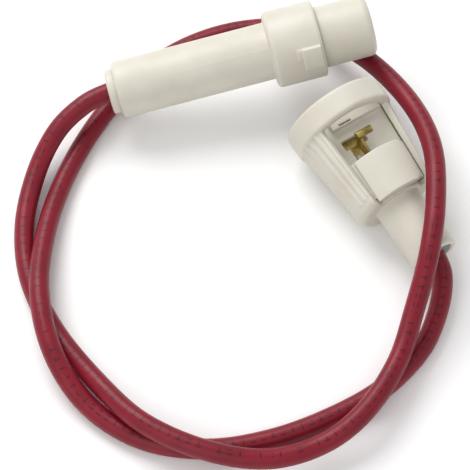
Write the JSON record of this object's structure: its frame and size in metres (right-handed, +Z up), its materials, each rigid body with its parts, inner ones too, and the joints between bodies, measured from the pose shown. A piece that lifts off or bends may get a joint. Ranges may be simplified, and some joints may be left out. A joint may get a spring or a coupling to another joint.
{
  "type": "ignition electrode lead",
  "caption": "High-voltage ignition lead in two loops, joining a twist-lock electrode holder with a spring-loaded suppressor to a bell-shaped plug with a brass contact.",
  "frame": {"origin": "on the surface that the fittings lie on, below the middle of the box round the holder and the plug", "axes": "+X along the holder towards its nose, seen from above; +Z up from the surface"},
  "size_m": [0.1087, 0.1285, 0.0279],
  "materials": {
    "nylon": "moulded off-white nylon, satin",
    "lead_silicone": "smooth red silicone, semi-gloss",
    "brass": "stamped brass",
    "steel": "plated spring steel",
    "conductor": "tinned copper strands",
    "ceramic": "glazed ceramic",
    "seal_rubber": "moulded grey rubber"
  },
  "bodies": {
    "lead_and_shells": {"lead_wire": "lead_silicone", "holder_body": "nylon", "cable_bush": "nylon", "bush_seal": "seal_rubber", "rear_contact": "brass", "conductor_holder_end": "conductor", "contact_spring": "steel", "plug_shell": "nylon", "contact_carrier": "nylon", "plug_contact": "brass", "contact_rivet": "steel", "crimp_terminal": "brass", "conductor_plug_end": "conductor", "tail_seal": "seal_rubber"},
    "suppressor": {"suppressor_rear_cap": "steel", "suppressor_body": "ceramic", "suppressor_front_cap": "steel"},
    "cap": {"nose_cap": "nylon", "cap_o_ring": "seal_rubber", "electrode_contact": "brass", "contact_snap_ring": "steel"}
  },
  "joints": [
    {"name": "element_lift", "type": "slide", "parent": "lead_and_shells", "child": "suppressor", "axis": [0.9675, 0.2216, 0.1219], "range_m": [0, 0.0024], "deforming": ["contact_spring"]},
    {"name": "cap_twist", "type": "hinge", "parent": "suppressor", "child": "cap", "pos_m": [0.01071, 0.02549, 0.0183], "axis": [0.9675, 0.2216, 0.1219], "range_deg": [0, 60]}
  ],
  "couplings": [
    {"joint": "cap_twist", "follows": "element_lift", "rad_per_m": 436.33}
  ]
}
